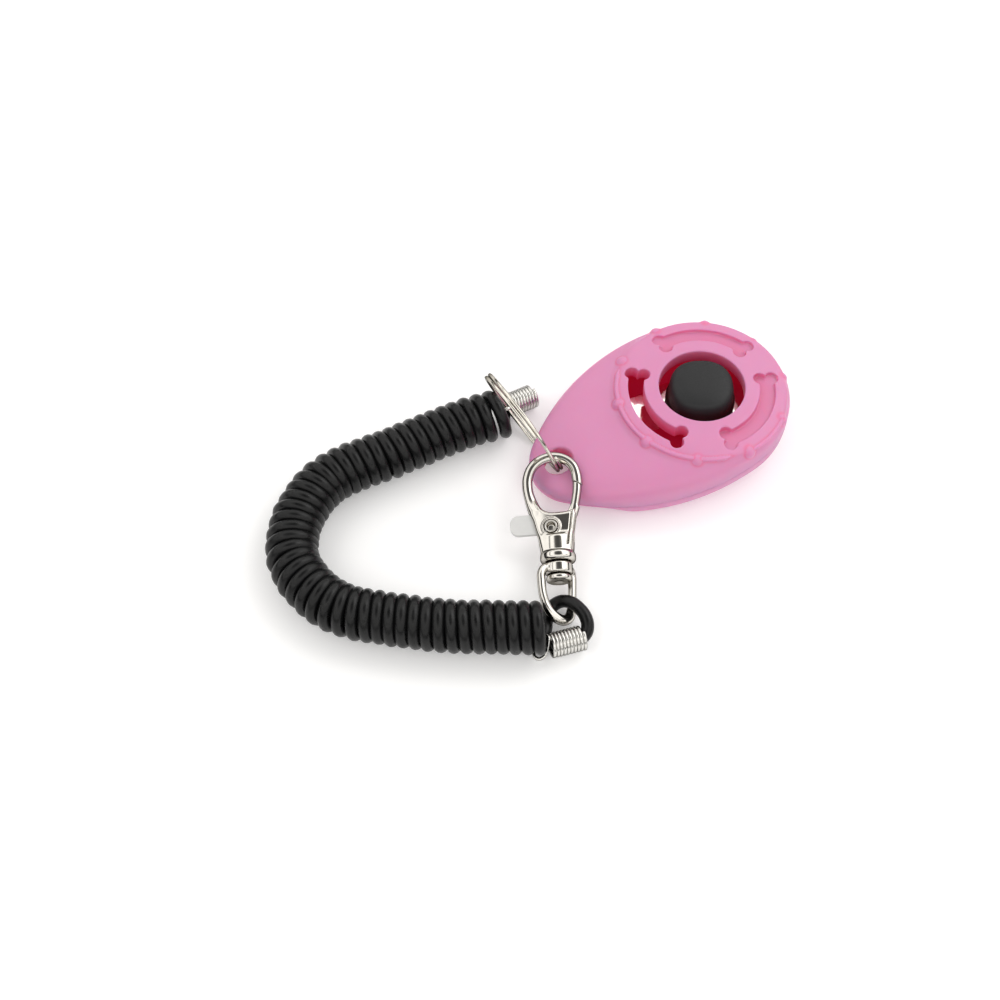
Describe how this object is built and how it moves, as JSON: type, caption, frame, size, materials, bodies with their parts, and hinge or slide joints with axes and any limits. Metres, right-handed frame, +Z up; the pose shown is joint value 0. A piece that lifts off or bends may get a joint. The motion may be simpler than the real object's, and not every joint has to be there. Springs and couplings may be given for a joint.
{
  "type": "clicker trainer",
  "caption": "Egg-shaped push-button training clicker with a spring-steel leaf, split ring, swivel lobster clasp and curly wrist coil.",
  "frame": {"origin": "on the table under the button's axis, on the casing's flat underside", "axes": "+Z up out of the button; +X along the casing towards its wide end, so the key-ring hole is at -X; the coil lies towards -X"},
  "size_m": [0.1279, 0.0701, 0.0264],
  "materials": {
    "pink_plastic": "satin moulded ABS, fine grain",
    "black_rubber": "soft matte",
    "spring_steel": "bright rolled spring steel",
    "zinc_screw": "zinc plated",
    "nickel_ring": "bright nickel plate",
    "chrome_cast": "polished chrome plate on casting",
    "stamped_steel": "stamped, tumbled",
    "black_cord": "satin extruded cord",
    "crimp_wire": "drawn wire, bright"
  },
  "bodies": {
    "casing": {"top_shell": "pink_plastic", "bottom_shell": "pink_plastic", "leaf_screw": "zinc_screw", "shell_screw_right": "zinc_screw", "shell_screw_left": "zinc_screw"},
    "button": {"button": "black_rubber"},
    "leaf": {"click_leaf": "spring_steel"},
    "ring": {"split_ring": "nickel_ring", "coil_band": "black_cord", "ring_end_loop": "black_cord", "crimp_ring_end": "crimp_wire"},
    "link": {"swivel_link": "chrome_cast", "link_end_loop": "black_cord", "crimp_link_end": "crimp_wire"},
    "clasp": {"clasp_body": "chrome_cast", "clasp_rivet": "chrome_cast", "gate_spring": "spring_steel"},
    "gate": {"clasp_gate": "stamped_steel"}
  },
  "joints": [
    {"name": "button_press", "type": "slide", "parent": "casing", "child": "button", "axis": [0, 0, -1], "range_m": [0, 0.0018], "stiffness_N_per_m": 1200},
    {"name": "leaf_flex", "type": "hinge", "parent": "casing", "child": "leaf", "pos_m": [-0.021, 0, 0.00725], "axis": [0, 1, 0], "range_deg": [0, 5]},
    {"name": "ring_swing", "type": "hinge", "parent": "casing", "child": "ring", "pos_m": [-0.0363, 0, 0.008], "axis": [0, 1, 0], "range_deg": [0, 12]},
    {"name": "clasp_tilt", "type": "hinge", "parent": "ring", "child": "link", "pos_m": [-0.0384, 0.0003, 0.011], "axis": [-0.914, 0.4057, 0], "range_deg": [0, 30], "deforming": ["coil_band"]},
    {"name": "clasp_swivel", "type": "hinge", "parent": "link", "child": "clasp", "pos_m": [-0.0543, -0.0349, 0.0025], "axis": [0.404, 0.8889, 0.2159], "range_deg": [-20, 3]},
    {"name": "gate_open", "type": "hinge", "parent": "clasp", "child": "gate", "pos_m": [-0.04633, -0.01402, 0.00723], "axis": [-0.2152, -0.1371, 0.9669], "range_deg": [0, 20], "stiffness_Nm_per_rad": 0.05, "deforming": ["gate_spring"]}
  ],
  "couplings": [
    {"joint": "leaf_flex", "follows": "button_press", "rad_per_m": 47.6}
  ]
}
